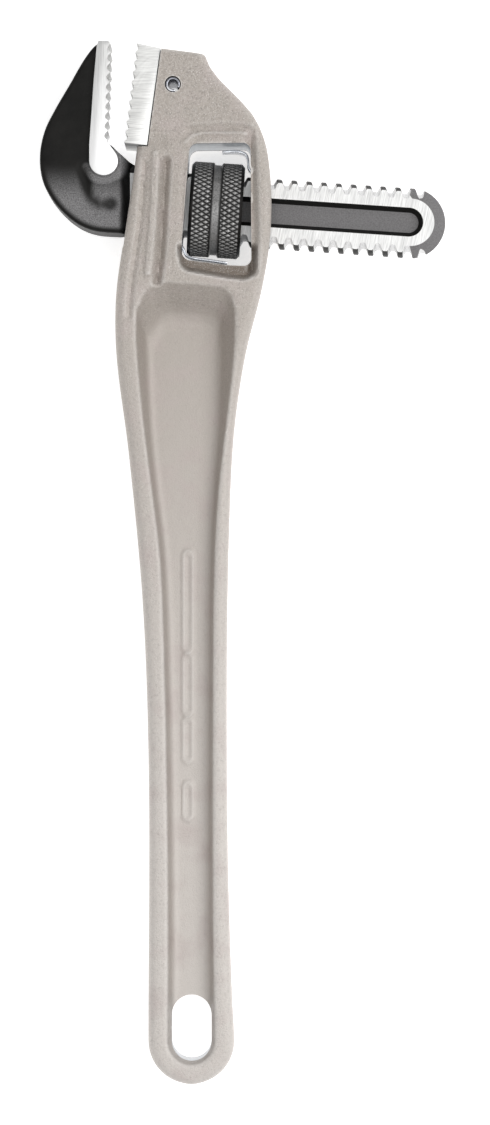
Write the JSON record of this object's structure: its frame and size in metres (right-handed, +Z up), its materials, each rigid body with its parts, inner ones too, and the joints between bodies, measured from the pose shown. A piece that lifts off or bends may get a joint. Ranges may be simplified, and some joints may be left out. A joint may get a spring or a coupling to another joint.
{
  "type": "pipe wrench",
  "caption": "Offset pipe wrench: cast aluminium handle with a toothed heel jaw, and a hook jaw on a threaded shank driven by a knurled nut.",
  "frame": {"origin": "under the middle of the wrench's outline, on the surface it lies on", "axes": "+X towards the shank's tip, +Y along the handle towards the jaws, +Z up through the wrench's thickness"},
  "size_m": [0.1386, 0.3555, 0.034],
  "materials": {
    "frame_paint": "cast aluminium with a satin warm grey paint over a fine sand-cast grain",
    "ground_steel": "machined and ground alloy steel",
    "pin_steel": "bright spring steel",
    "forged_steel": "black forged steel with ground silver flats on the teeth and the shank",
    "nut_oxide": "black oxide, knurled",
    "spring_steel": "bright spring steel strip"
  },
  "bodies": {
    "frame": {"frame_handle": "frame_paint", "heel_jaw": "ground_steel", "heel_jaw_pin": "pin_steel"},
    "rocker": {"upper_leaf_spring": "spring_steel", "lower_leaf_spring": "spring_steel"},
    "nut": {"adjusting_nut": "nut_oxide"},
    "hook": {"hook_jaw": "forged_steel"}
  },
  "joints": [
    {"name": "jaw_rock", "type": "hinge", "parent": "frame", "child": "rocker", "pos_m": [-0.00931, 0.1209, 0.017], "axis": [0, 0, 1], "range_deg": [0, 3], "stiffness_Nm_per_rad": 6, "springref_deg": -2.86, "deforming": ["upper_leaf_spring", "lower_leaf_spring"]},
    {"name": "nut_spin", "type": "hinge", "parent": "rocker", "child": "nut", "pos_m": [-0.00931, 0.1209, 0.017], "axis": [0.9977, -0.0671, 0], "range_deg": [-355, 3898]},
    {"name": "jaw_slide", "type": "slide", "parent": "rocker", "child": "hook", "axis": [-0.9977, 0.0671, 0], "range_m": [-0.005, 0.055]}
  ],
  "couplings": [
    {"joint": "nut_spin", "follows": "jaw_slide", "rad_per_m": 1236.8}
  ]
}
